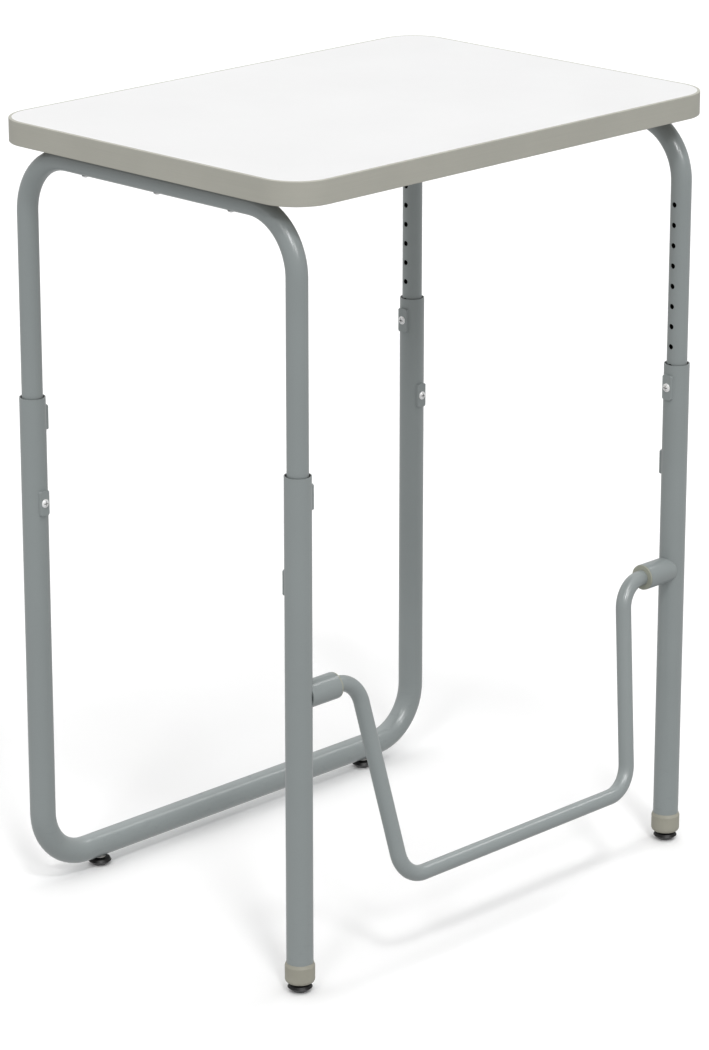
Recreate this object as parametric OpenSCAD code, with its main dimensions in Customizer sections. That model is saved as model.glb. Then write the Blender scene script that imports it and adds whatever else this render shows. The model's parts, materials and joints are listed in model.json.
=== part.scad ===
// Standing-height desk with four telescoping tube legs and a swinging footrest bar.
// Millimetres, +Z up. Origin on the floor, under the middle of the whole desk's outline.
// The user stands on the -Y side. Left is -X and right is +X.

/* [Worktop] */
// Width of the worktop, left to right
top_w = 711; // [600:1:900]
// Depth of the worktop, front to back
top_d = 508; // [450:1:700]
// Overall thickness of the worktop
top_t = 28.6; // [22:0.2:36]
// Radius of the worktop's four corners, seen from above
corner_r = 50.8; // [20:0.2:90]
// Thickness of the plastic edge band
band_t = 3.6; // [3.2:0.1:5]
// Rounding of the edge band's outer edges
band_round = 1; // [0.8:0.1:1.6]
// Thickness of the white laminate on top
laminate_t = 1.2; // [0.8:0.1:2]
// Thickness of the backing sheet underneath
backer_t = 1; // [0.5:0.1:1.5]

/* [Legs] */
// Distance from the worktop's edge to the centre of each leg
leg_inset = 28.8; // [22:0.1:60]
// Outer diameter of the lower leg tubes
lower_od = 31.75; // [30:0.05:34]
// Wall of the lower leg tubes
lower_wall = 1.65; // [1.2:0.05:2]
// Outer diameter of the upper leg tubes
upper_od = 25.4; // [23:0.05:26]
// Wall of the upper leg tubes
upper_wall = 1.5; // [1.2:0.05:2]
// Height of the mouths of the lower legs above the floor
rim_z = 628; // [600:1:640]
// Centreline radius of the bends in the upper frames
upper_bend_r = 72; // [50:1:90]
// Centreline radius of the bends in the rear lower frame
lower_bend_r = 68; // [50:1:80]
// Height of the underside of the foot caps and of the rear rail above the floor
ground_gap = 11; // [10.6:0.1:20]

/* [Height setting] */
// Height of the index screws above the floor
index_z = 600; // [590:1:605]
// Distance from each index screw down to the clamp screw
screw_drop = 101.6; // [80:0.1:120]
// Distance from the top surface down to the first height hole
first_hole_drop = 140; // [130:1:150]
// Spacing of the height holes
hole_pitch = 25.4; // [20:0.1:30]
// Number of height holes in each upper leg
hole_count = 15; // [10:1:15]
// Which height hole the screws are in, counted from the top hole as 0
set_hole = 9; // [0:1:9]
// Diameter of the height holes
hole_d = 6.8; // [6.4:0.1:8]

/* [Footrest] */
// Height of the footrest pivots above the floor
pivot_z = 363.5; // [330:0.5:400]
// Outer diameter of the footrest bar
bar_od = 19.05; // [16:0.05:22]
// Wall of the footrest bar
bar_wall = 1.6; // [1.2:0.1:2]
// Length of each pivot sleeve, measured from the leg's surface
sleeve_len = 41; // [30:0.5:50]
// Distance from the pivot axis down to the axis of the foot bar
bar_drop = 253.8; // [200:0.2:270]
// How far each arm leans in towards the middle between its two bends
arm_taper = 35.9; // [10:0.1:60]
// Forward swing of the footrest as stored, from hanging straight down
swing_deg = 10; // [0:1:30]
// Centreline radius of the two bends beside the pivots
pivot_bend_r = 36; // [25:1:40]
// Centreline radius of the two bends beside the foot bar
bar_bend_r = 38; // [25:1:60]

/* [Hidden] */
$fn = 96;
eps = 0.5;

// Colours
paint = [0.52, 0.56, 0.56];
beige = [0.60, 0.60, 0.55];
laminate_white = [0.96, 0.96, 0.96];
chipboard = [0.72, 0.60, 0.44];
black_plastic = [0.08, 0.08, 0.08];
zinc = [0.80, 0.81, 0.83];

// Heights, from the floor, that follow from the hole the screws are in
top_z = index_z + first_hole_drop + set_hole * hole_pitch;
under_z = top_z - top_t;
core_z = under_z + backer_t;
core_top_z = top_z - laminate_t;
clamp_z = index_z - screw_drop;

// Leg positions, from the middle of the worktop
leg_x = top_w / 2 - leg_inset;
leg_y = top_d / 2 - leg_inset;
front_left = [-leg_x, -leg_y];
front_right = [leg_x, -leg_y];
rear_left = [-leg_x, leg_y];
rear_right = [leg_x, leg_y];

// Tube radii
lower_r = lower_od / 2;
lower_bore_r = lower_r - lower_wall;
upper_r = upper_od / 2;
upper_bore_r = upper_r - upper_wall;
bar_r = bar_od / 2;

// Upper frames: the rail lies against the underside of the worktop
rail_z = under_z - upper_r;
rail_screw_pitch = 121.4;
// The upper tubes still pass the clamp screws at the highest setting
guide_travel_up = (hole_count - 1 - set_hole) * hole_pitch;
guide_below_clamp = 25;
upper_end_z = clamp_z - guide_below_clamp - guide_travel_up;

// Worktop joinery
tongue_t = 2;
tongue_depth = 8;
wood_screw_bite = 17;

// Parts in the legs
bushing_len = 18;
bushing_recess = 1;
bushing_slack = 0.1;
guide_slack = 0.2;
guide_lip_t = 3;
guide_plug_len = 14;
guide_wall = 2;

// Welded nut plates
plate_w = 13.6;
plate_h = 31;
plate_rise = 2.8;
plate_corner_r = 2.6;

// Pan heads, as shares of the head's height or radius
pan_rim_share = 0.25;
cross_width_share = 0.26;
cross_length_share = 1.15;
cross_floor_share = 0.4;
screw_point_r = 0.3;

// Machine screws through the plates
machine_head_r = 5.4;
machine_head_h = 2.9;
machine_shank_r = 3.1;
screw_tip_gap = 0.3;
wall_hole_r = 3.4;

// Wood screws through the rails
wood_head_r = 4.3;
wood_head_h = 2.4;
wood_shank_r = 2.1;
rail_hole_r = 2.6;

// Footrest pivots
bar_end_gap = 11;
pivot_slack = 0.075;
flange_t = 2;
flange_r = lower_r - 0.3;
pivot_bushing_len = 26;
sleeve_cope = 7;
pivot_face_x = leg_x - lower_r - sleeve_len;
bar_end_x = leg_x - lower_r - bar_end_gap;
// Foot bar geometry, in the plane of the footrest, for one half
pivot_bend_gap = 4.2;
taper_deg = atan(arm_taper / bar_drop);
turn_deg = 90 - taper_deg;
pivot_tangent = pivot_bend_r * tan(turn_deg / 2);
bar_tangent = bar_bend_r * tan(turn_deg / 2);
arm_top_x = pivot_face_x - pivot_bend_gap - pivot_tangent;
arm_foot_x = arm_top_x - arm_taper;
arm_len = bar_drop / cos(taper_deg) - pivot_tangent - bar_tangent;
bend_lap = 0.4;
bend_swell = 0.03;

// The swung footrest reaches out in front of the worktop, so the desk stands back from
// the origin by half of that, which centres its whole outline
front_reach = max(top_d / 2, leg_y + bar_drop * sin(swing_deg) + bar_r);
desk_y = (front_reach - top_d / 2) / 2;

// Feet
cap_wall = 1.9;
cap_floor_t = 4;
cap_side_h = 21.5;
cap_lip_h = 3.8;
cap_lip_wall = 0.4;
cap_round = 5;
cap_round_step = 15;
nut_r = 6.5;
glide_thread_r = 4;
thread_slack = 0.1;
glide_base_r = 9;
glide_wide_r = 14.75;
glide_wide_z = 5.2;
glide_neck_r = 13;
glide_neck_z = 8.4;
glide_collar_r = 7;
glide_collar_z = 9.6;
glide_socket_z = 3;
stem_reach = 17;
stem_top_z = ground_gap + stem_reach;
rear_rail_z = ground_gap + lower_r;
rear_glide_from_bend = 23.5;
rear_glide_x = leg_x - lower_bend_r - rear_glide_from_bend;
rivet_flange_t = 1;
rivet_flange_r = 7.5;
rivet_body_r = 5.5;
rivet_bulge_r = 7.5;
rivet_bulge_h = 2;
rivet_bulge_gap = 0.1;

// ---------- shared shapes ----------

module at_leg(leg) {
    translate([leg.x, leg.y, 0])
        children();
}

// Turns a shape built towards +X so that it faces the other side's leg
module face_inward_x(leg) {
    rotate([0, 0, leg.x < 0 ? 0 : 180])
        children();
}

// Turns a shape built towards +X so that it faces the front or rear leg of the same side
module face_inward_y(leg) {
    rotate([0, 0, leg.y < 0 ? 90 : -90])
        children();
}

// A slab with four rounded corners, as straight blocks and quarter rounds that meet face to face
module rounded_slab(w, d, h, r) {
    translate([-w / 2 + r, -d / 2, 0])
        cube([w - 2 * r, d, h]);
    for (side = [0, 1])
        mirror([side, 0, 0]) {
            translate([w / 2 - r, -d / 2 + r, 0])
                cube([r, d - 2 * r, h]);
            for (end = [0, 1])
                mirror([0, end, 0])
                    translate([w / 2 - r, d / 2 - r, 0])
                        rotate_extrude(angle = 90)
                            square([r, h]);
        }
}

// One arc of a bent rod in the XZ plane, from start_deg, anticlockwise seen from the front
module rod_arc(r, bend_r, start_deg, sweep_deg) {
    rotate([90, 0, 0])
        rotate([0, 0, start_deg])
            rotate_extrude(angle = sweep_deg)
                translate([bend_r, 0])
                    circle(r);
}

// An inverted U in the XZ plane: rail along X at z = 0, legs down to -drop
module u_rod(r, half_span, drop, bend_r) {
    translate([-(half_span - bend_r), 0, 0])
        rotate([0, 90, 0])
            cylinder(r = r, h = 2 * (half_span - bend_r));
    for (side = [0, 1])
        mirror([side, 0, 0]) {
            translate([half_span - bend_r, 0, -bend_r])
                rod_arc(r, bend_r, 0, 90);
            translate([half_span, 0, -drop])
                cylinder(r = r, h = drop - bend_r);
        }
}

module u_tube(r, wall, half_span, drop, bend_r) {
    difference() {
        u_rod(r, half_span, drop, bend_r);
        u_rod(r - wall, half_span, drop + eps, bend_r);
    }
}

// Pan head screw: head rises from z = 0, shank goes down to -len
module pan_screw(head_r, head_h, shank_r, len, tip_len) {
    rise = head_h * (1 - pan_rim_share);
    dome_r = (head_r * head_r + rise * rise) / (2 * rise);
    slot_w = head_r * cross_width_share;
    slot_l = head_r * cross_length_share;
    difference() {
        intersection() {
            translate([0, 0, head_h - dome_r])
                sphere(r = dome_r);
            cylinder(r = head_r, h = head_h + eps);
        }
        for (turn = [0, 90])
            rotate([0, 0, turn])
                translate([-slot_l / 2, -slot_w / 2, head_h * cross_floor_share])
                    cube([slot_l, slot_w, head_h]);
    }
    translate([0, 0, tip_len - len])
        cylinder(r = shank_r, h = len - tip_len);
    if (tip_len > 0)
        translate([0, 0, -len])
            cylinder(r1 = screw_point_r, r2 = shank_r, h = tip_len);
}

// ---------- worktop ----------

// Where the wood screws go up through each rail
module at_rail_screws(x) {
    for (step = [-1, 0, 1])
        translate([x, step * rail_screw_pitch, 0])
            children();
}

module wood_screw_holes(r, from_z, h) {
    for (x = [-leg_x, leg_x])
        at_rail_screws(x)
            translate([0, 0, from_z])
                cylinder(r = r, h = h);
}

module top_core() {
    w = top_w - 2 * band_t;
    d = top_d - 2 * band_t;
    r = corner_r - band_t;
    tongue_z = (under_z + top_z - tongue_t) / 2;
    color(chipboard)
        difference() {
            translate([0, 0, core_z])
                rounded_slab(w, d, core_top_z - core_z, r);
            difference() {
                translate([0, 0, tongue_z])
                    rounded_slab(w + 2 * eps, d + 2 * eps, tongue_t, r + eps);
                translate([0, 0, tongue_z - eps])
                    rounded_slab(w - 2 * tongue_depth, d - 2 * tongue_depth,
                                 tongue_t + 2 * eps, r - tongue_depth);
            }
            wood_screw_holes(wood_shank_r, core_z - eps, wood_screw_bite - backer_t + eps);
        }
}

module top_laminate() {
    color(laminate_white)
        translate([0, 0, core_top_z])
            rounded_slab(top_w - 2 * band_t, top_d - 2 * band_t, laminate_t, corner_r - band_t);
}

module top_backer() {
    color(beige)
        difference() {
            translate([0, 0, under_z])
                rounded_slab(top_w - 2 * band_t, top_d - 2 * band_t, backer_t, corner_r - band_t);
            wood_screw_holes(wood_shank_r, under_z - eps, backer_t + 2 * eps);
        }
}

// Section of the edge band: x = 0 on the core's edge, +x outward, with a tongue going in
module band_section() {
    square_w = band_t - band_round;
    square([square_w, top_t]);
    translate([square_w, band_round])
        square([band_round, top_t - 2 * band_round]);
    for (z = [band_round, top_t - band_round])
        intersection() {
            translate([square_w, z])
                circle(band_round, $fn = 48);
            translate([square_w, z < top_t / 2 ? 0 : z])
                square([band_round, band_round]);
        }
    translate([-tongue_depth, (top_t - tongue_t) / 2])
        square([tongue_depth, tongue_t]);
}

module edge_band() {
    r = corner_r - band_t;
    straight_x = top_w - 2 * corner_r;
    straight_y = top_d - 2 * corner_r;
    color(beige)
        translate([0, 0, under_z])
            for (side = [0, 1])
                mirror([side, 0, 0]) {
                    translate([top_w / 2 - band_t, straight_y / 2, 0])
                        rotate([90, 0, 0])
                            linear_extrude(straight_y)
                                band_section();
                    for (end = [0, 1])
                        mirror([0, end, 0]) {
                            translate([straight_x / 2, straight_y / 2, 0])
                                rotate_extrude(angle = 90)
                                    translate([r, 0])
                                        band_section();
                            translate([0, top_d / 2 - band_t, 0])
                                rotate([90, 0, 90])
                                    linear_extrude(straight_x / 2)
                                        band_section();
                        }
                }
}

// ---------- upper frames ----------

// One inverted U along Y, with height holes on the side that faces the other frame
module upper_frame(x) {
    inward = x < 0 ? 0 : 180;
    color(paint)
        difference() {
            translate([x, 0, rail_z])
                rotate([0, 0, 90])
                    u_tube(upper_r, upper_wall, leg_y, rail_z - upper_end_z, upper_bend_r);
            for (y = [-leg_y, leg_y], hole = [0 : hole_count - 1])
                translate([x, y, top_z - first_hole_drop - hole * hole_pitch])
                    rotate([0, 0, inward])
                        rotate([0, 90, 0])
                            cylinder(d = hole_d, h = upper_r + eps);
            at_rail_screws(x)
                translate([0, 0, rail_z - upper_r - eps])
                    cylinder(r = rail_hole_r, h = 2 * upper_r + 2 * eps);
        }
}

module rail_screws(x) {
    color(zinc)
        at_rail_screws(x)
            translate([0, 0, rail_z - upper_r])
                rotate([180, 0, 0])
                    pan_screw(wood_head_r, wood_head_h, wood_shank_r,
                              2 * upper_r + wood_screw_bite, wood_shank_r * 2);
}

// Plastic end plug of an upper tube, whose lip runs inside the lower tube
module tube_guide() {
    color(black_plastic)
        translate([0, 0, upper_end_z])
            difference() {
                union() {
                    translate([0, 0, -guide_lip_t])
                        cylinder(r = lower_bore_r - guide_slack, h = guide_lip_t);
                    cylinder(r = upper_bore_r, h = guide_plug_len);
                }
                translate([0, 0, -guide_lip_t - eps])
                    cylinder(r = upper_bore_r - guide_wall, h = guide_lip_t + guide_plug_len + 2 * eps);
            }
}

// ---------- lower frame and legs ----------

// Holes in the lower tube's wall for the index screw and the clamp screw
module wall_holes(leg) {
    at_leg(leg) {
        translate([0, 0, index_z])
            face_inward_x(leg)
                rotate([0, 90, 0])
                    cylinder(r = wall_hole_r, h = lower_r + eps);
        translate([0, 0, clamp_z])
            face_inward_y(leg)
                rotate([0, 90, 0])
                    cylinder(r = wall_hole_r, h = lower_r + eps);
    }
}

module rear_lower_frame() {
    color(paint)
        difference() {
            translate([0, leg_y, rear_rail_z])
                rotate([180, 0, 0])
                    u_tube(lower_r, lower_wall, leg_x, rim_z - rear_rail_z, lower_bend_r);
            wall_holes(rear_left);
            wall_holes(rear_right);
            for (x = [-rear_glide_x, rear_glide_x])
                translate([x, leg_y, ground_gap - eps])
                    cylinder(r = rivet_body_r, h = lower_r);
        }
}

module front_leg(leg) {
    foot_z = ground_gap + cap_floor_t;
    color(paint)
        difference() {
            at_leg(leg)
                translate([0, 0, foot_z])
                    difference() {
                        cylinder(r = lower_r, h = rim_z - foot_z);
                        translate([0, 0, -eps])
                            cylinder(r = lower_bore_r, h = rim_z - foot_z + 2 * eps);
                    }
            wall_holes(leg);
        }
}

// Plastic liner just inside the mouth of a lower leg
module leg_bushing() {
    color(black_plastic)
        translate([0, 0, rim_z - bushing_recess - bushing_len])
            difference() {
                cylinder(r = lower_bore_r, h = bushing_len);
                translate([0, 0, -eps])
                    cylinder(r = upper_r + bushing_slack, h = bushing_len + 2 * eps);
            }
}

// Welded plate on the +X side of a lower leg, hollowed to fit the tube and tapped for a screw
module nut_plate() {
    reach = lower_r + plate_rise;
    color(paint)
        difference() {
            rotate([90, 0, 90])
                translate([0, -plate_h / 2, 0])
                    intersection() {
                        translate([0, plate_h / 2, 0])
                            rounded_slab(plate_w, plate_h, reach, plate_corner_r);
                        translate([-plate_w, 0, lower_r / 2])
                            cube([2 * plate_w, plate_h, reach]);
                    }
            translate([0, 0, -plate_h])
                cylinder(r = lower_r, h = 2 * plate_h);
            rotate([0, 90, 0])
                cylinder(r = machine_shank_r, h = reach + eps);
        }
}

// Pan head screw through a nut plate, towards the leg's axis, just clear of the upper tube
module plate_screw() {
    seat = lower_r + plate_rise;
    color(zinc)
        translate([seat, 0, 0])
            rotate([0, 90, 0])
                pan_screw(machine_head_r, machine_head_h, machine_shank_r,
                          seat - upper_r - screw_tip_gap, 0);
}

module index_plate(leg) {
    at_leg(leg)
        translate([0, 0, index_z])
            face_inward_x(leg)
                nut_plate();
}

module index_screw(leg) {
    at_leg(leg)
        translate([0, 0, index_z])
            face_inward_x(leg)
                plate_screw();
}

module clamp_plate(leg) {
    at_leg(leg)
        translate([0, 0, clamp_z])
            face_inward_y(leg)
                nut_plate();
}

module clamp_screw(leg) {
    at_leg(leg)
        translate([0, 0, clamp_z])
            face_inward_y(leg)
                plate_screw();
}

// ---------- footrest ----------

// Sleeve welded to the inner side of a front leg, coped to the leg's surface
module pivot_sleeve(leg) {
    color(paint)
        at_leg(leg)
            difference() {
                translate([0, 0, pivot_z])
                    face_inward_x(leg)
                        translate([lower_r - sleeve_cope, 0, 0])
                            rotate([0, 90, 0])
                                difference() {
                                    cylinder(r = lower_r, h = sleeve_len + sleeve_cope - flange_t);
                                    translate([0, 0, -eps])
                                        cylinder(r = lower_bore_r, h = sleeve_len + sleeve_cope);
                                }
                cylinder(r = lower_r, h = rim_z);
            }
}

// Flanged plastic bushing in the sleeve's inner end
module pivot_bushing(leg) {
    color(beige)
        at_leg(leg)
            translate([0, 0, pivot_z])
                face_inward_x(leg)
                    translate([lower_r + sleeve_len, 0, 0])
                        rotate([0, -90, 0])
                            difference() {
                                union() {
                                    cylinder(r = flange_r, h = flange_t);
                                    cylinder(r = lower_bore_r, h = pivot_bushing_len);
                                }
                                translate([0, 0, -eps])
                                    cylinder(r = bar_r + pivot_slack, h = pivot_bushing_len + 2 * eps);
                            }
}

// One half of the bent bar in the XZ plane, pivot axis at z = 0, end stretched by extra.
// The straights lap a little way into the bends, which are drawn a hair thicker.
module half_bar(r, extra) {
    pivot_bend_x = arm_top_x + pivot_tangent;
    bar_bend_x = arm_foot_x - bar_tangent;
    translate([pivot_bend_x - bend_lap, 0, 0])
        rotate([0, 90, 0])
            cylinder(r = r, h = bar_end_x - pivot_bend_x + bend_lap + extra);
    translate([pivot_bend_x, 0, -pivot_bend_r])
        rod_arc(r + bend_swell, pivot_bend_r, 90, turn_deg);
    translate([arm_top_x, 0, 0])
        rotate([0, 180 + taper_deg, 0])
            translate([0, 0, pivot_tangent - bend_lap])
                cylinder(r = r, h = arm_len + 2 * bend_lap);
    translate([bar_bend_x, 0, bar_bend_r - bar_drop])
        rod_arc(r + bend_swell, bar_bend_r, -90, turn_deg);
    translate([0, 0, -bar_drop])
        rotate([0, 90, 0])
            cylinder(r = r, h = bar_bend_x + bend_lap);
}

module footrest_bar() {
    color(paint)
        translate([0, -leg_y, pivot_z])
            rotate([-swing_deg, 0, 0])
                difference() {
                    for (side = [0, 1])
                        mirror([side, 0, 0])
                            half_bar(bar_r, 0);
                    for (side = [0, 1])
                        mirror([side, 0, 0])
                            half_bar(bar_r - bar_wall, eps);
                }
}

// ---------- feet ----------

// Plastic cap over the end of a front leg, with a plug inside the tube that holds the nut
module foot_cap() {
    cap_r = lower_r + cap_wall;
    side_top = ground_gap + cap_side_h;
    lip_top = side_top + cap_lip_h;
    floor_z = ground_gap + cap_floor_t;
    color(beige)
        difference() {
            rotate_extrude()
                polygon([
                    [0, ground_gap],
                    [cap_r - cap_round, ground_gap],
                    for (turn = [cap_round_step : cap_round_step : 90 - cap_round_step])
                        [cap_r - cap_round + cap_round * sin(turn),
                         ground_gap + cap_round - cap_round * cos(turn)],
                    [cap_r, ground_gap + cap_round],
                    [cap_r, side_top],
                    [lower_r + cap_lip_wall, lip_top],
                    [0, lip_top]
                ]);
            translate([0, 0, floor_z])
                difference() {
                    cylinder(r = lower_r, h = lip_top);
                    translate([0, 0, -eps])
                        cylinder(r = lower_bore_r, h = cap_side_h - cap_floor_t + eps);
                }
            translate([0, 0, ground_gap - eps])
                cylinder(r = nut_r, h = lip_top);
        }
}

// Threaded metal insert in a foot cap
module cap_nut() {
    color(zinc)
        translate([0, 0, ground_gap])
            difference() {
                cylinder(r = nut_r, h = cap_side_h);
                translate([0, 0, -eps])
                    cylinder(r = glide_thread_r, h = cap_side_h + 2 * eps);
            }
}

// Rivet nut in the underside of the rear rail: flange outside, bulge inside
module rail_nut() {
    wall_z = rear_rail_z - sqrt(pow(lower_bore_r, 2) - pow(rivet_bulge_r, 2));
    color(zinc)
        difference() {
            union() {
                translate([0, 0, ground_gap - rivet_flange_t])
                    cylinder(r = rivet_flange_r, h = rivet_flange_t);
                translate([0, 0, ground_gap])
                    cylinder(r = rivet_body_r, h = lower_r + rivet_flange_t);
                translate([0, 0, wall_z + rivet_bulge_gap])
                    cylinder(r = rivet_bulge_r, h = rivet_bulge_h);
            }
            translate([0, 0, ground_gap - 2 * rivet_flange_t])
                cylinder(r = glide_thread_r, h = 2 * lower_r);
        }
}

// Nylon glide: small flat base, widest a little above the floor, with a collar on top
module glide() {
    color(black_plastic)
        difference() {
            rotate_extrude()
                polygon([
                    [0, 0],
                    [glide_base_r, 0],
                    [glide_wide_r, glide_wide_z],
                    [glide_neck_r, glide_neck_z],
                    [glide_collar_r, glide_neck_z],
                    [glide_collar_r, glide_collar_z],
                    [0, glide_collar_z]
                ]);
            translate([0, 0, glide_socket_z])
                cylinder(r = glide_thread_r - thread_slack, h = glide_collar_z);
        }
}

// Steel stem moulded into the glide
module glide_stem() {
    color(zinc)
        translate([0, 0, glide_socket_z])
            cylinder(r = glide_thread_r - thread_slack, h = stem_top_z - glide_socket_z);
}

// Places a rear glide's pieces under the rear rail; side is -1 for left and 1 for right
module at_rear_glide(side) {
    translate([side * rear_glide_x, leg_y, 0])
        children();
}

// ---------- nodes ----------

module in_frame() {
    translate([0, desk_y, 0])
        children();
}

in_frame() top_core();
in_frame() top_laminate();
in_frame() top_backer();
in_frame() edge_band();

in_frame() upper_frame(-leg_x);  // left_upper_frame
in_frame() upper_frame(leg_x);  // right_upper_frame
in_frame() rail_screws(-leg_x);  // left_rail_screws
in_frame() rail_screws(leg_x);  // right_rail_screws
in_frame() at_leg(front_left) tube_guide();  // front_left_tube_guide
in_frame() at_leg(front_right) tube_guide();  // front_right_tube_guide
in_frame() at_leg(rear_left) tube_guide();  // rear_left_tube_guide
in_frame() at_leg(rear_right) tube_guide();  // rear_right_tube_guide

in_frame() rear_lower_frame();
in_frame() front_leg(front_left);  // front_left_leg
in_frame() front_leg(front_right);  // front_right_leg
in_frame() at_leg(front_left) leg_bushing();  // front_left_leg_bushing
in_frame() at_leg(front_right) leg_bushing();  // front_right_leg_bushing
in_frame() at_leg(rear_left) leg_bushing();  // rear_left_leg_bushing
in_frame() at_leg(rear_right) leg_bushing();  // rear_right_leg_bushing

in_frame() index_plate(front_left);  // front_left_index_plate
in_frame() index_plate(front_right);  // front_right_index_plate
in_frame() index_plate(rear_left);  // rear_left_index_plate
in_frame() index_plate(rear_right);  // rear_right_index_plate
in_frame() clamp_plate(front_left);  // front_left_clamp_plate
in_frame() clamp_plate(front_right);  // front_right_clamp_plate
in_frame() clamp_plate(rear_left);  // rear_left_clamp_plate
in_frame() clamp_plate(rear_right);  // rear_right_clamp_plate

in_frame() index_screw(front_left);  // front_left_index_screw
in_frame() index_screw(front_right);  // front_right_index_screw
in_frame() index_screw(rear_left);  // rear_left_index_screw
in_frame() index_screw(rear_right);  // rear_right_index_screw
in_frame() clamp_screw(front_left);  // front_left_clamp_screw
in_frame() clamp_screw(front_right);  // front_right_clamp_screw
in_frame() clamp_screw(rear_left);  // rear_left_clamp_screw
in_frame() clamp_screw(rear_right);  // rear_right_clamp_screw

in_frame() pivot_sleeve(front_left);  // left_pivot_sleeve
in_frame() pivot_sleeve(front_right);  // right_pivot_sleeve
in_frame() pivot_bushing(front_left);  // left_pivot_bushing
in_frame() pivot_bushing(front_right);  // right_pivot_bushing
in_frame() footrest_bar();

in_frame() at_leg(front_left) foot_cap();  // front_left_foot_cap
in_frame() at_leg(front_right) foot_cap();  // front_right_foot_cap
in_frame() at_leg(front_left) cap_nut();  // front_left_glide_nut
in_frame() at_leg(front_right) cap_nut();  // front_right_glide_nut
in_frame() at_rear_glide(-1) rail_nut();  // rear_left_glide_nut
in_frame() at_rear_glide(1) rail_nut();  // rear_right_glide_nut

in_frame() at_leg(front_left) glide();  // front_left_glide
in_frame() at_leg(front_right) glide();  // front_right_glide
in_frame() at_rear_glide(-1) glide();  // rear_left_glide
in_frame() at_rear_glide(1) glide();  // rear_right_glide
in_frame() at_leg(front_left) glide_stem();  // front_left_glide_stem
in_frame() at_leg(front_right) glide_stem();  // front_right_glide_stem
in_frame() at_rear_glide(-1) glide_stem();  // rear_left_glide_stem
in_frame() at_rear_glide(1) glide_stem();  // rear_right_glide_stem
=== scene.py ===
"""Looks for a height-adjustable standing desk with a swinging footrest bar.

Metres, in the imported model's frame: +Z up, the user stands on the -Y side.
"""
import json
import math

import bmesh
import bpy
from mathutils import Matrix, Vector


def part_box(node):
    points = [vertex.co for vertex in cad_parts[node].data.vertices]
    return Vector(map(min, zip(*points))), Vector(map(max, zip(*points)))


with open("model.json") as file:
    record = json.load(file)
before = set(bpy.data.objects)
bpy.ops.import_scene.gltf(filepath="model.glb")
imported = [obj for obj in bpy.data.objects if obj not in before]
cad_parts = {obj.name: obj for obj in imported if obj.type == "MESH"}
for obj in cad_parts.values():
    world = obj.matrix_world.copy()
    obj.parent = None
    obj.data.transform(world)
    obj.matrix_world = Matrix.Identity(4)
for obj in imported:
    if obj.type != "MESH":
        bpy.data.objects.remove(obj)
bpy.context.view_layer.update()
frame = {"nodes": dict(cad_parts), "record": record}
NODES = frame["nodes"]


def middle(name):
    low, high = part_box(name)
    return (low + high) / 2


# Places that the materials are measured from
LEG = middle("front_right_leg")
REAR_LEG_Y = middle("rear_right_leg_bushing").y
DESK_Y = (LEG.y + REAR_LEG_Y) / 2
LEG_Y = (REAR_LEG_Y - LEG.y) / 2
RIM_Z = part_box("front_right_leg")[1].z
LOWER_R = (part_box("front_right_leg")[1].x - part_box("front_right_leg")[0].x) / 2
UPPER_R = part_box("right_upper_frame")[1].x - LEG.x
# The legs are straight from the end of the rear frame's bends to the foot of the upper frames' bends
LOWER_BEND_TOP = 0.096
UPPER_BEND_DROP = 0.073
UPPER_BEND_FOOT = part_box("right_upper_frame")[1].z - UPPER_R - UPPER_BEND_DROP
# Walls of the leg tubes, for the bare steel inside them
UPPER_WALL = 0.0015
LOWER_WALL = 0.00165
REAR_GLIDE_X = middle("rear_right_glide").x
TOP_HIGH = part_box("edge_band")[1]
# The cross recess of a leg screw: its reach from the screw's axis, and its floor from the leg's axis
RECESS_R = 0.0039
RECESS_DEPTH = 0.0016
RECESS_FLOOR = LEG.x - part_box("front_right_index_screw")[0].x - RECESS_DEPTH
# Where the two ends of the edge band meet, on the rear side
BAND_JOINT_X = 0.012
# Wear: how far up the upper tubes the slide marks reach, and the heights between which the scuffs
# on the lower tubes and the rub on the footrest fade out
SLIDE_MARK_REACH = 0.16
SCUFF_FADE = (0.03, 0.17)
RUB_FADE = (0.118, 0.150)
# Gloss of all the painted steel
PAINT_GLOSS = {"Coat_Weight": 0.30, "Coat_Roughness": 0.20, "Specular_IOR_Level": 0.45}
ORANGE_PEEL_DEPTH = 0.000008
# How brightly the white surroundings light the desk, and how they show past the floor
WORLD_LIGHT = 0.56
WORLD_SEEN = 1.0


def direction(azimuth, elevation):
    """Unit vector away from the desk, in degrees round from its front and up"""
    a, e = math.radians(azimuth), math.radians(elevation)
    return Vector((math.sin(a) * math.cos(e), -math.cos(a) * math.cos(e), math.sin(e)))


# ---------- materials ----------


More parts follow.
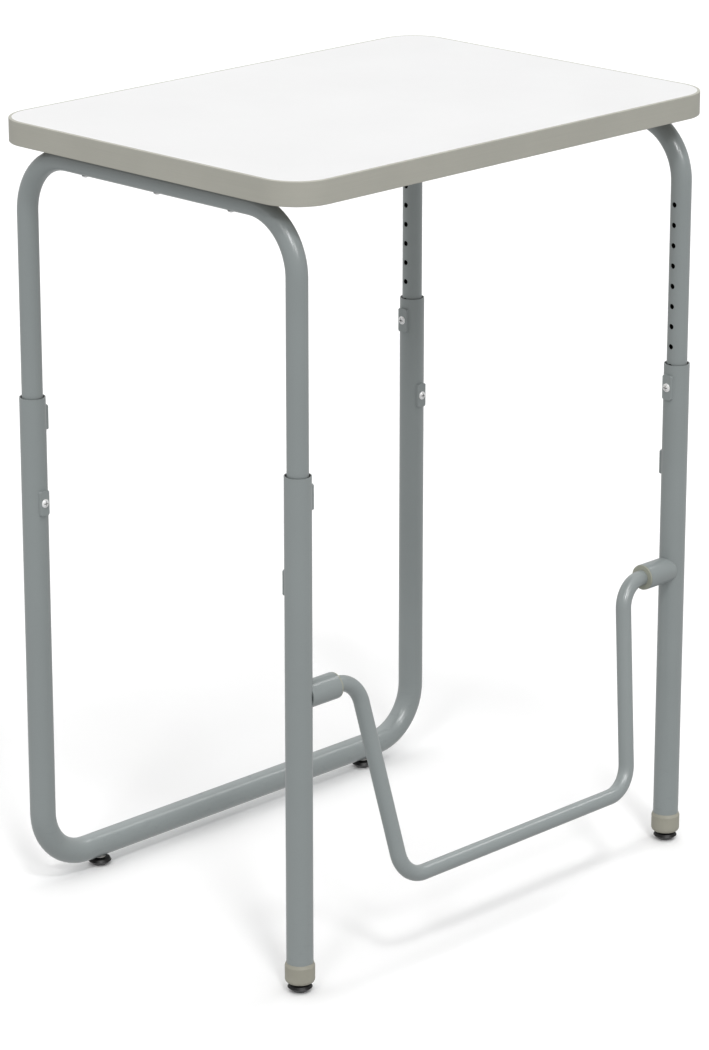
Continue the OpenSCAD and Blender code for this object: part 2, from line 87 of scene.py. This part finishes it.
class Surface:
    """One Principled material and short calls for the nodes that feed it."""

    def __init__(self, name):
        self.material = bpy.data.materials.new(name)
        self.material.use_nodes = True
        self.tree = self.material.node_tree
        self.tree.nodes.clear()
        self.shader = self.add("ShaderNodeBsdfPrincipled")
        self.output = self.add("ShaderNodeOutputMaterial")
        self.tree.links.new(self.shader.outputs[0], self.output.inputs["Surface"])
        self.place = self.add("ShaderNodeTexCoord").outputs["Object"]
        self.axes = self.add("ShaderNodeSeparateXYZ")
        self.tree.links.new(self.place, self.axes.inputs[0])
        self.x, self.y, self.z = self.axes.outputs

    def add(self, kind, **settings):
        node = self.tree.nodes.new(kind)
        for key, value in settings.items():
            setattr(node, key, value)
        return node

    def feed(self, socket, value):
        if isinstance(value, bpy.types.NodeSocket):
            self.tree.links.new(value, socket)
        else:
            socket.default_value = value

    def math(self, operation, *values):
        node = self.add("ShaderNodeMath", operation=operation)
        for socket, value in zip(node.inputs, values):
            self.feed(socket, value)
        return node.outputs[0]

    def span(self, value, low, high, out_low=0.0, out_high=1.0):
        """value from low..high to out_low..out_high, with soft ends"""
        node = self.add("ShaderNodeMapRange", interpolation_type="SMOOTHSTEP")
        for socket, number in zip(node.inputs, (value, low, high, out_low, out_high)):
            self.feed(socket, number)
        return node.outputs[0]

    def noise(self, scale, detail=2.0, roughness=0.5, stretch=(1, 1, 1), shift=(0, 0, 0)):
        mapping = self.add("ShaderNodeMapping")
        self.feed(mapping.inputs["Vector"], self.place)
        mapping.inputs["Scale"].default_value = stretch
        mapping.inputs["Location"].default_value = shift
        node = self.add("ShaderNodeTexNoise")
        self.feed(node.inputs["Vector"], mapping.outputs[0])
        node.inputs["Scale"].default_value = scale
        node.inputs["Detail"].default_value = detail
        node.inputs["Roughness"].default_value = roughness
        return node.outputs[0]

    def cells(self, scale, feature="F1", output="Distance", stretch=(1, 1, 1)):
        mapping = self.add("ShaderNodeMapping")
        self.feed(mapping.inputs["Vector"], self.place)
        mapping.inputs["Scale"].default_value = stretch
        node = self.add("ShaderNodeTexVoronoi", feature=feature)
        self.feed(node.inputs["Vector"], mapping.outputs[0])
        node.inputs["Scale"].default_value = scale
        return node.outputs[output]

    def mix(self, amount, first, second):
        node = self.add("ShaderNodeMix", data_type="RGBA")
        self.feed(node.inputs["Factor"], amount)
        for socket, value in zip([s for s in node.inputs if s.type == "RGBA"], (first, second)):
            self.feed(socket, value)
        return next(s for s in node.outputs if s.type == "RGBA")

    def total(self, *values):
        result = values[0]
        for value in values[1:]:
            result = self.math("ADD", result, value)
        return result

    def hypot(self, a, b):
        squares = self.total(self.math("MULTIPLY", a, a), self.math("MULTIPLY", b, b))
        return self.math("POWER", squares, 0.5)

    def bump(self, height, depth):
        node = self.add("ShaderNodeBump")
        self.feed(node.inputs["Height"], height)
        node.inputs["Strength"].default_value = 1.0
        node.inputs["Distance"].default_value = depth
        return node.outputs[0]

    def from_leg(self):
        """Distance from the axis of the nearest leg"""
        dx = self.math("SUBTRACT", self.math("ABSOLUTE", self.x), LEG.x)
        dy = self.math("ABSOLUTE", self.math("SUBTRACT", self.y, DESK_Y))
        return self.hypot(dx, self.math("SUBTRACT", dy, LEG_Y))

    def finish(self, color, roughness, normal=None, **constants):
        self.feed(self.shader.inputs["Base Color"], color)
        self.feed(self.shader.inputs["Roughness"], roughness)
        if normal is not None:
            self.feed(self.shader.inputs["Normal"], normal)
        for key, value in constants.items():
            self.shader.inputs[key.replace("_", " ")].default_value = value
        return self.material


def rgb(r, g, b):
    """Linear colour from 0-255 sRGB numbers"""
    def linear(c):
        return c / 255 / 12.92 if c <= 10.3 else ((c / 255 + 0.055) / 1.055) ** 2.4

    return linear(r), linear(g), linear(b), 1.0


def shade(color, factor):
    return tuple(c * factor for c in color[:3]) + (1.0,)


def powder_coat(name, color, bore_r, slide_marks=False, floor_scuffs=False):
    """Semi-gloss powder coat with orange peel, bare dark steel inside the tube"""
    s = Surface(name)
    cloud = s.noise(7.0, 3.0, 0.55)
    speck = s.noise(1500.0, 1.0, 0.5)
    tone = s.total(s.span(cloud, 0.3, 0.7, -0.5, 0.5), s.span(speck, 0.3, 0.7, -0.35, 0.35))
    tone = s.span(tone, -0.8, 0.8)
    base = s.mix(tone, shade(color, 0.975), shade(color, 1.025))
    peel = s.noise(620.0, 1.0, 0.5)
    grain = s.noise(1700.0, 1.0, 0.5)
    rough = s.span(s.noise(38.0, 3.0, 0.6), 0.3, 0.72, 0.28, 0.33)
    height = s.total(peel, s.math("MULTIPLY", grain, 0.35))
    if slide_marks:
        lines = s.noise(1.0, 3.0, 0.65, stretch=(900.0, 900.0, 9.0))
        patch = s.noise(22.0, 2.0, 0.5, shift=(3.1, 0.4, 1.7))
        low = s.span(s.z, RIM_Z + 0.002, RIM_Z + SLIDE_MARK_REACH, 1.0, 0.0)
        mark = s.math("MULTIPLY", s.span(lines, 0.60, 0.72), s.span(patch, 0.45, 0.62))
        mark = s.math("MULTIPLY", mark, low)
        base = s.mix(s.math("MULTIPLY", mark, 0.14), base, shade(color, 1.30))
        rough = s.total(rough, s.math("MULTIPLY", mark, 0.15))
        height = s.math("SUBTRACT", height, s.math("MULTIPLY", mark, 0.4))
    if floor_scuffs:
        smear = s.noise(60.0, 4.0, 0.6, stretch=(1.0, 1.0, 3.0), shift=(0.7, 2.3, 0.1))
        low = s.span(s.z, *SCUFF_FADE, 1.0, 0.0)
        mark = s.math("MULTIPLY", s.span(smear, 0.56, 0.70), low)
        base = s.mix(s.math("MULTIPLY", mark, 0.18), base, shade(color, 0.70))
        rough = s.total(rough, s.math("MULTIPLY", mark, 0.18))
    straight = s.math("MULTIPLY", s.span(s.z, LOWER_BEND_TOP - 0.002, LOWER_BEND_TOP),
                      s.span(s.z, UPPER_BEND_FOOT, UPPER_BEND_FOOT + 0.002, 1.0, 0.0))
    inside = s.span(s.from_leg(), bore_r + 0.0002, bore_r + 0.0009, 1.0, 0.0)
    inside = s.math("MULTIPLY", straight, inside)
    rust = s.mix(s.noise(90.0, 4.0, 0.6), rgb(26, 24, 23), rgb(48, 42, 38))
    base = s.mix(inside, base, rust)
    rough = s.total(rough, s.math("MULTIPLY", inside, 0.35))
    return s.finish(base, rough, s.bump(height, ORANGE_PEEL_DEPTH), **PAINT_GLOSS)


def bar_paint(name, color):
    """The same powder coat on the footrest, rubbed by shoes along the foot bar"""
    s = Surface(name)
    cloud = s.noise(8.0, 3.0, 0.55, shift=(1.3, 0.2, 0.9))
    speck = s.noise(1500.0, 1.0, 0.5)
    tone = s.total(s.span(cloud, 0.3, 0.7, -0.5, 0.5), s.span(speck, 0.3, 0.7, -0.35, 0.35))
    tone = s.span(tone, -0.8, 0.8)
    base = s.mix(tone, shade(color, 0.975), shade(color, 1.025))
    rough = s.span(s.noise(40.0, 3.0, 0.6), 0.3, 0.72, 0.28, 0.33)
    low = s.span(s.z, *RUB_FADE, 1.0, 0.0)
    streak = s.noise(1.0, 4.0, 0.62, stretch=(26.0, 260.0, 260.0))
    rub = s.math("MULTIPLY", s.span(streak, 0.53, 0.72), low)
    base = s.mix(s.math("MULTIPLY", rub, 0.20), base, shade(color, 0.74))
    rough = s.total(rough, s.math("MULTIPLY", rub, 0.14))
    height = s.total(s.noise(620.0, 1.0, 0.5), s.math("MULTIPLY", s.noise(1700.0, 1.0), 0.35))
    return s.finish(base, rough, s.bump(height, ORANGE_PEEL_DEPTH), **PAINT_GLOSS)


def laminate(name, color):
    """White melamine: fine pebbled texture, faint cloudiness, hairline marks from use"""
    s = Surface(name)
    cloud = s.noise(5.0, 4.0, 0.55)
    base = s.mix(s.span(cloud, 0.3, 0.7), shade(color, 0.985), color)
    pebble = s.cells(1300.0, "SMOOTH_F1")
    grain = s.noise(2600.0, 1.0)
    hair = s.noise(1.0, 3.0, 0.7, stretch=(14.0, 700.0, 1.0), shift=(0.4, 0.8, 0.0))
    hair2 = s.noise(1.0, 3.0, 0.7, stretch=(620.0, 11.0, 1.0), shift=(5.1, 2.2, 0.0))
    marks = s.math("MAXIMUM", s.span(hair, 0.70, 0.78), s.span(hair2, 0.71, 0.79))
    base = s.mix(s.math("MULTIPLY", marks, 0.06), base, shade(color, 0.80))
    smudge = s.noise(11.0, 5.0, 0.62, shift=(2.0, 1.0, 0.0))
    rough = s.total(s.span(smudge, 0.3, 0.75, 0.34, 0.44), s.math("MULTIPLY", marks, 0.08))
    height = s.total(pebble, s.math("MULTIPLY", grain, 0.4))
    return s.finish(base, rough, s.bump(height, 0.00002), Specular_IOR_Level=0.42)


def edge_vinyl(name, color):
    """Extruded vinyl: fine lines along its length, a dark line at the rear where its ends meet"""
    s = Surface(name)
    along = s.noise(1.0, 3.0, 0.6, stretch=(9.0, 9.0, 1500.0))
    cloud = s.noise(9.0, 3.0, 0.5, shift=(0.3, 0.6, 0.2))
    fleck = s.noise(2200.0, 1.0)
    tone = s.total(s.span(along, 0.3, 0.7, -0.35, 0.35), s.span(cloud, 0.3, 0.7, -0.4, 0.4),
                   s.span(fleck, 0.3, 0.7, -0.25, 0.25))
    base = s.mix(s.span(tone, -0.9, 0.9), shade(color, 0.955), shade(color, 1.04))
    from_joint = s.math("ABSOLUTE", s.math("SUBTRACT", s.x, BAND_JOINT_X))
    at_rear = s.span(s.y, TOP_HIGH.y - 0.02, TOP_HIGH.y - 0.01)
    joint = s.math("MULTIPLY", s.span(from_joint, 0.0001, 0.0004, 1.0, 0.0), at_rear)
    base = s.mix(s.math("MULTIPLY", joint, 0.75), base, shade(color, 0.35))
    rough = s.span(s.noise(60.0, 3.0, 0.6), 0.3, 0.7, 0.42, 0.54)
    height = s.total(along, s.math("MULTIPLY", fleck, 0.5), s.math("MULTIPLY", joint, -2.0))
    return s.finish(base, rough, s.bump(height, 0.00003), Specular_IOR_Level=0.40)


def moulded(name, color, rough_low, rough_high, grain_scale=1900.0, rub_below=None):
    """Injection-moulded plastic: fine spark texture, slight mottling, rubbed low down if asked"""
    s = Surface(name)
    cloud = s.noise(30.0, 3.0, 0.55)
    grain = s.noise(grain_scale, 2.0, 0.6)
    tone = s.total(s.span(cloud, 0.3, 0.7, -0.5, 0.5), s.span(grain, 0.3, 0.7, -0.3, 0.3))
    tone = s.span(tone, -0.8, 0.8)
    base = s.mix(tone, shade(color, 0.93), shade(color, 1.06))
    rough = s.span(s.noise(120.0, 3.0, 0.6), 0.3, 0.7, rough_low, rough_high)
    if rub_below is not None:
        worn = s.math("MULTIPLY", s.span(s.z, rub_below * 0.4, rub_below, 1.0, 0.0),
                      s.span(s.noise(240.0, 4.0, 0.65), 0.42, 0.66))
        base = s.mix(s.math("MULTIPLY", worn, 0.45), base, rgb(118, 114, 106))
        rough = s.total(rough, s.math("MULTIPLY", worn, 0.2))
    return s.finish(base, rough, s.bump(grain, 0.00003), Specular_IOR_Level=0.42)


def turned_nylon(name, color):
    """Black glide: turned rings round its own axis, scuffed and dusty on the base"""
    s = Surface(name)
    rear = s.math("GREATER_THAN", s.y, DESK_Y)
    along = s.math("ADD", s.math("MULTIPLY", rear, REAR_GLIDE_X - LEG.x), LEG.x)
    across = s.math("SUBTRACT", s.math("ABSOLUTE", s.math("SUBTRACT", s.y, DESK_Y)), LEG_Y)
    dx = s.math("SUBTRACT", s.math("ABSOLUTE", s.x), along)
    radius = s.hypot(dx, across)
    rings = s.math("SINE", s.math("MULTIPLY", s.math("ADD", radius, s.math("MULTIPLY", s.z, 0.7)), 9000.0))
    grain = s.noise(900.0, 3.0, 0.6)
    dust = s.math("MULTIPLY", s.span(s.z, 0.0, 0.006, 1.0, 0.1), s.span(grain, 0.40, 0.70))
    base = s.mix(s.math("MULTIPLY", dust, 0.11), color, rgb(104, 100, 94))
    rough = s.total(s.span(grain, 0.3, 0.7, 0.34, 0.46), s.math("MULTIPLY", dust, 0.3))
    height = s.total(s.math("MULTIPLY", rings, 0.25), grain)
    return s.finish(base, rough, s.bump(height, 0.00004), Specular_IOR_Level=0.32)


def recesses(s):
    """1 on the floors of the cross recesses of the eight leg screws, which all face inward: where the
    painted shade goes
    """
    across = s.math("SUBTRACT", s.math("ABSOLUTE", s.math("SUBTRACT", s.y, DESK_Y)), LEG_Y)
    along = s.math("SUBTRACT", s.math("ABSOLUTE", s.x), LEG.x)
    found = []
    for screw, aside, inward in (("index", across, along), ("clamp", along, across)):
        up = s.math("SUBTRACT", s.z, middle(f"front_right_{screw}_screw").z)
        off = s.total(s.math("MULTIPLY", aside, aside), s.math("MULTIPLY", up, up))
        near = s.span(off, RECESS_R ** 2, (RECESS_R + 0.0002) ** 2, 1.0, 0.0)
        deep = s.span(inward, -RECESS_FLOOR - 0.0002, -RECESS_FLOOR)
        found.append(s.math("MULTIPLY", near, deep))
    return s.math("MAXIMUM", *found)


def zinc(name, color, rough_low=0.18, rough_high=0.34, metallic=0.2, painted_recess_shade=False):
    """Zinc plate: bright, with a faint blue and straw cast and fine handling marks, and painted shade on the
    floors of the screw recesses if asked
    """
    s = Surface(name)
    patch = s.noise(260.0, 3.0, 0.6)
    blue = s.mix(s.span(patch, 0.35, 0.65), shade(color, 0.94), color)
    base = s.mix(s.span(s.noise(420.0, 2.0, 0.5, shift=(1.0, 0.0, 0.5)), 0.45, 0.75, 0.0, 0.35), blue,
                 rgb(226, 216, 190))
    marks = s.noise(1.0, 2.0, 0.6, stretch=(2600.0, 2600.0, 700.0))
    rough = s.total(s.span(patch, 0.3, 0.7, rough_low, rough_high), s.span(marks, 0.5, 0.8, 0.0, 0.12))
    # Painted shade: the floors of the cross recesses are coloured near black, as if in shadow
    if painted_recess_shade:
        recess_shade_mask = recesses(s)
        base = s.mix(s.math("MULTIPLY", recess_shade_mask, 0.9), base, rgb(52, 54, 56))
        rough = s.total(rough, s.math("MULTIPLY", recess_shade_mask, 0.3))
    return s.finish(base, rough, s.bump(marks, 0.000015), Metallic=metallic)


def chipboard(name):
    """Pressed wood chips"""
    s = Surface(name)
    chips = s.cells(260.0, "F1", "Color", stretch=(1.0, 1.0, 2.6))
    grey = s.add("ShaderNodeSeparateColor")
    s.feed(grey.inputs[0], chips)
    base = s.mix(grey.outputs[0], rgb(150, 118, 78), rgb(214, 184, 138))
    base = s.mix(s.span(s.noise(700.0, 3.0), 0.5, 0.7, 0.0, 0.5), base, rgb(120, 88, 54))
    edges = s.cells(260.0, "DISTANCE_TO_EDGE", "Distance", stretch=(1.0, 1.0, 2.6))
    rough = s.span(edges, 0.0, 0.2, 0.9, 0.75)
    return s.finish(base, rough, s.bump(edges, 0.0002), Specular_IOR_Level=0.25)


def backing(name, color):
    """Brown-grey backing paper: soft fibres and a few pale flecks"""
    s = Surface(name)
    fibre = s.noise(1.0, 4.0, 0.65, stretch=(240.0, 900.0, 1.0))
    cloud = s.noise(14.0, 4.0, 0.6)
    base = s.mix(s.span(fibre, 0.35, 0.7), shade(color, 0.90), shade(color, 1.06))
    base = s.mix(s.span(cloud, 0.4, 0.7, 0.0, 0.4), base, shade(color, 0.86))
    rough = s.span(fibre, 0.3, 0.7, 0.62, 0.74)
    return s.finish(base, rough, s.bump(fibre, 0.00004), Specular_IOR_Level=0.30)


GREY = rgb(146, 153, 153)
looks = {
    "core_board": chipboard("core_board_looks"),
    "laminate": laminate("laminate_looks", rgb(230, 230, 230)),
    "backing_sheet": backing("backing_sheet_looks", rgb(150, 142, 130)),
    "edge_band": edge_vinyl("edge_band_looks", rgb(178, 177, 167)),
    "upper_tube_paint": powder_coat("upper_tube_looks", GREY, UPPER_R - UPPER_WALL, slide_marks=True),
    "lower_tube_paint": powder_coat("lower_tube_looks", GREY, LOWER_R - LOWER_WALL, floor_scuffs=True),
    "footrest_paint": bar_paint("footrest_looks", GREY),
    "wood_screw_zinc": zinc("wood_screw_looks", rgb(250, 251, 252), metallic=0.85),
    "machine_screw_zinc": zinc("machine_screw_looks", rgb(252, 253, 254), painted_recess_shade=True),
    "black_plastic": moulded("liner_looks", rgb(9, 9, 9), 0.5, 0.65),
    "pivot_plastic": moulded("pivot_looks", rgb(162, 164, 150), 0.42, 0.52),
    "cap_plastic": moulded("cap_looks", rgb(162, 160, 147), 0.44, 0.56, 1500.0, rub_below=0.020),
    "nut_steel": zinc("nut_looks", rgb(190, 190, 190), 0.3, 0.45),
    "stem_steel": zinc("stem_looks", rgb(186, 186, 188), 0.3, 0.45),
    "glide_nylon": turned_nylon("glide_looks", rgb(15, 14, 14)),
}

slot_of = {row["node"]: row["material_slot"] for row in frame["record"]["subparts"]}
for name, obj in NODES.items():
    for material_slot in obj.material_slots:
        material_slot.material = looks[slot_of[name]]


# ---------- floor, light and camera ----------


def make_floor():
    bm = bmesh.new()
    bmesh.ops.create_circle(bm, cap_ends=True, radius=60.0, segments=96)
    mesh = bpy.data.meshes.new("floor")
    bm.to_mesh(mesh)
    bm.free()
    floor = bpy.data.objects.new("floor", mesh)
    bpy.context.collection.objects.link(floor)
    floor.location.z = -0.0003
    # Its own bounce light would wash out the undersides, so it only shows and takes shadows
    floor.visible_diffuse = False
    floor.visible_glossy = False
    s = Surface("floor_looks")
    tone = s.noise(3.0, 4.0, 0.5)
    base = s.mix(s.span(tone, 0.3, 0.7), rgb(250, 250, 250), rgb(252, 252, 252))
    mesh.materials.append(s.finish(base, 0.75, s.bump(s.noise(600.0, 2.0), 0.00003), Specular_IOR_Level=0.2))


def sun(name, azimuth, elevation, strength, spread, gloss_only=False):
    """An even, soft light from one direction; spread is the angle it fills, in degrees"""
    away = direction(azimuth, elevation)
    data = bpy.data.lights.new(name, "SUN")
    data.energy = strength
    data.angle = math.radians(spread)
    light = bpy.data.objects.new(name, data)
    bpy.context.collection.objects.link(light)
    light.rotation_mode = "QUATERNION"
    light.rotation_quaternion = away.to_track_quat("Z", "Y")
    light.visible_diffuse = not gloss_only


def make_world():
    """White all round: it lights the desk softly, and shows as white wherever the floor ends"""
    world = bpy.data.worlds.new("studio")
    world.use_nodes = True
    sky = world.node_tree.nodes["Background"]
    sky.inputs["Color"].default_value = (1.0, 1.0, 1.0, 1.0)
    seen = world.node_tree.nodes.new("ShaderNodeLightPath")
    strength = world.node_tree.nodes.new("ShaderNodeMapRange")
    strength.inputs["To Min"].default_value = WORLD_LIGHT
    strength.inputs["To Max"].default_value = WORLD_SEEN
    world.node_tree.links.new(seen.outputs["Is Camera Ray"], strength.inputs["Value"])
    world.node_tree.links.new(strength.outputs["Result"], sky.inputs["Strength"])
    bpy.context.scene.world = world


def make_camera(azimuth, elevation, distance, aim, lens):
    away = direction(azimuth, elevation)
    data = bpy.data.cameras.new("camera")
    data.lens = lens
    data.sensor_width = 36.0
    data.clip_start, data.clip_end = 0.1, 100.0
    camera = bpy.data.objects.new("camera", data)
    bpy.context.collection.objects.link(camera)
    camera.location = Vector(aim) + away * distance
    camera.rotation_mode = "QUATERNION"
    camera.rotation_quaternion = away.to_track_quat("Z", "Y")
    bpy.context.scene.camera = camera


make_floor()
make_world()
# Each sun: name, azimuth, elevation, strength, spread
sun("overhead", 20.0, 80.0, 0.6, 60.0)
sun("right_rim", 85.0, 47.0, 0.30, 14.0)
sun("front_high", -29.0, 60.0, 0.48, 9.0)
sun("front_low", -31.0, 36.0, 0.42, 9.0)
sun("left_key", -64.0, 44.0, 0.30, 9.0)
sun("back_right", 150.0, 50.0, 0.40, 55.0)
sun("back_left", -138.0, 40.0, 0.25, 55.0)
sun("bend_streak", -28.0, 44.0, 0.75, 18.0, gloss_only=True)
sun("edge_streak", -4.0, 30.0, 0.6, 14.0, gloss_only=True)
# Fitted to the photo: azimuth, elevation, distance, the point it aims at, focal length
make_camera(-45.38, 18.0, 4.96, (-0.0183, 0.0024, 0.4494), 139.58)
bpy.context.scene.view_settings.view_transform = "Standard"
bpy.context.scene.view_settings.look = "None"
